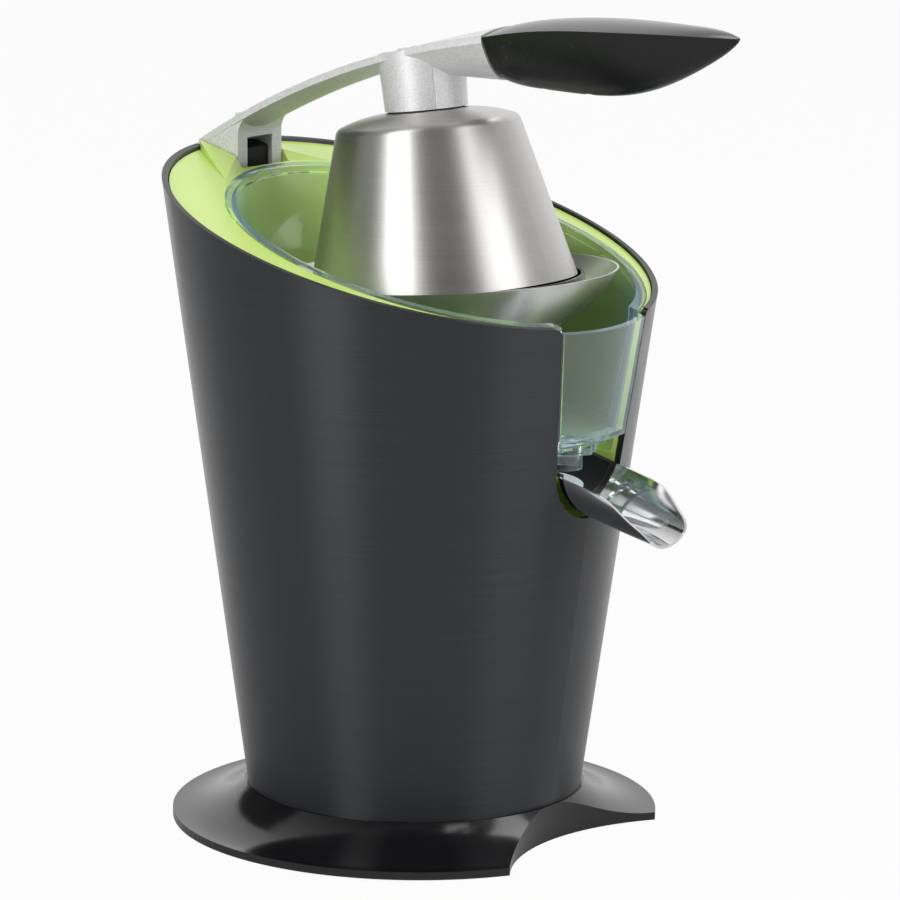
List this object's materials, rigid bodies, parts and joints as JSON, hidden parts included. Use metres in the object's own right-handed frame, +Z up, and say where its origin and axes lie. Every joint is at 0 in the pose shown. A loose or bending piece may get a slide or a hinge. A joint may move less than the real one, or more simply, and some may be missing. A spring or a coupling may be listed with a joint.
{
  "type": "electric citrus juicer with lever",
  "caption": "Electric citrus press: leaning-rim dark tapered body, green inner body, clear bowl, sieve, reamer, and a hinged arm with a steel cup and a grip; steel spout in front.",
  "frame": {"origin": "on the floor under the axis of the tapered body", "axes": "+X to the front, where the spout and the grip point; +Z up; +Y to the juicer's left"},
  "size_m": [0.2557, 0.2012, 0.3364],
  "materials": {
    "anthracite": "dark grey coat with a fine hairline brushing",
    "lime": "lime green moulding",
    "black_gloss": "polished black moulding",
    "black_matte": "plain black moulding",
    "grey_satin": "satin dark grey moulding",
    "clear": "clear moulding with a faint blue tint",
    "silver": "silver coat with a fine sparkle",
    "brushed_steel": "brushed round the axis",
    "polished_steel": "polished",
    "steel": "plain machined steel",
    "rubber": "soft black rubber",
    "white_plastic": "natural white moulding",
    "seal": "soft pale rubber",
    "bronze": "plain bearing metal",
    "copper": "windings and lamination, shown as one"
  },
  "bodies": {
    "body": {"base": "black_gloss", "bottom_cover": "black_matte", "rubber_feet": "rubber", "base_screws": "steel", "cover_screws": "steel", "body_shell": "anthracite", "inner_body": "lime", "juice_bowl": "clear", "sieve": "brushed_steel", "shaft_bushes": "bronze", "shaft_seal": "rubber", "start_spring": "steel", "start_switch": "black_matte", "gear_plate": "black_matte", "lay_pin": "steel", "gearbox_case": "black_matte", "gearbox_cover": "black_matte", "gearbox_screws": "steel", "motor_can": "steel", "motor_cap": "black_matte", "motor_stator": "copper", "motor_screws": "steel", "hinge_bracket": "black_matte", "hinge_screws": "steel", "hinge_pin": "steel", "spout_pin": "steel", "cord_gland": "rubber"},
    "lever": {"lever_arm": "silver", "grip_lower": "black_gloss", "grip_top": "grey_satin", "grip_screws": "steel", "press_cup": "brushed_steel", "cup_stud": "steel", "cup_washer": "rubber", "button_spring": "steel"},
    "button": {"release_button": "lime"},
    "start_slide": {"thrust_washer": "steel"},
    "reamer": {"reamer": "black_gloss", "output_shaft": "steel", "output_gear": "white_plastic"},
    "lay_gear": {"lay_gear": "white_plastic"},
    "rotor": {"motor_rotor": "steel", "motor_pinion": "bronze"},
    "spout": {"spout": "polished_steel", "spout_insert": "black_matte", "spout_seal": "seal"}
  },
  "joints": [
    {"name": "lever_hinge", "type": "hinge", "parent": "body", "child": "lever", "pos_m": [-0.092, 0, 0.257], "axis": [0, -1, 0], "range_deg": [0, 72]},
    {"name": "button_press", "type": "slide", "parent": "lever", "child": "button", "axis": [0.2852, 0, -0.9585], "range_m": [0, 0.0015], "stiffness_N_per_m": 500, "springref_m": -0.001, "deforming": ["button_spring"]},
    {"name": "start_press", "type": "slide", "parent": "body", "child": "start_slide", "axis": [0.0523, 0, -0.9986], "range_m": [0, 0.002], "stiffness_N_per_m": 8000, "springref_m": -0.002, "deforming": ["start_spring"]},
    {"name": "reamer_spin", "type": "hinge", "parent": "start_slide", "child": "reamer", "pos_m": [0.0128, 0, 0.2286], "axis": [-0.0523, 0, 0.9986], "continuous": true},
    {"name": "lay_spin", "type": "hinge", "parent": "body", "child": "lay_gear", "pos_m": [-0.00945, 0, 0.13731], "axis": [-0.0523, 0, 0.9986], "continuous": true},
    {"name": "rotor_spin", "type": "hinge", "parent": "body", "child": "rotor", "pos_m": [0.02065, 0, 0.07881], "axis": [-0.0523, 0, 0.9986], "continuous": true},
    {"name": "spout_hinge", "type": "hinge", "parent": "body", "child": "spout", "pos_m": [0.05461, 0, 0.1552], "axis": [0, -1, 0], "range_deg": [0, 14]}
  ],
  "couplings": [
    {"joint": "lay_spin", "follows": "reamer_spin", "ratio": -4},
    {"joint": "rotor_spin", "follows": "reamer_spin", "ratio": 16}
  ]
}
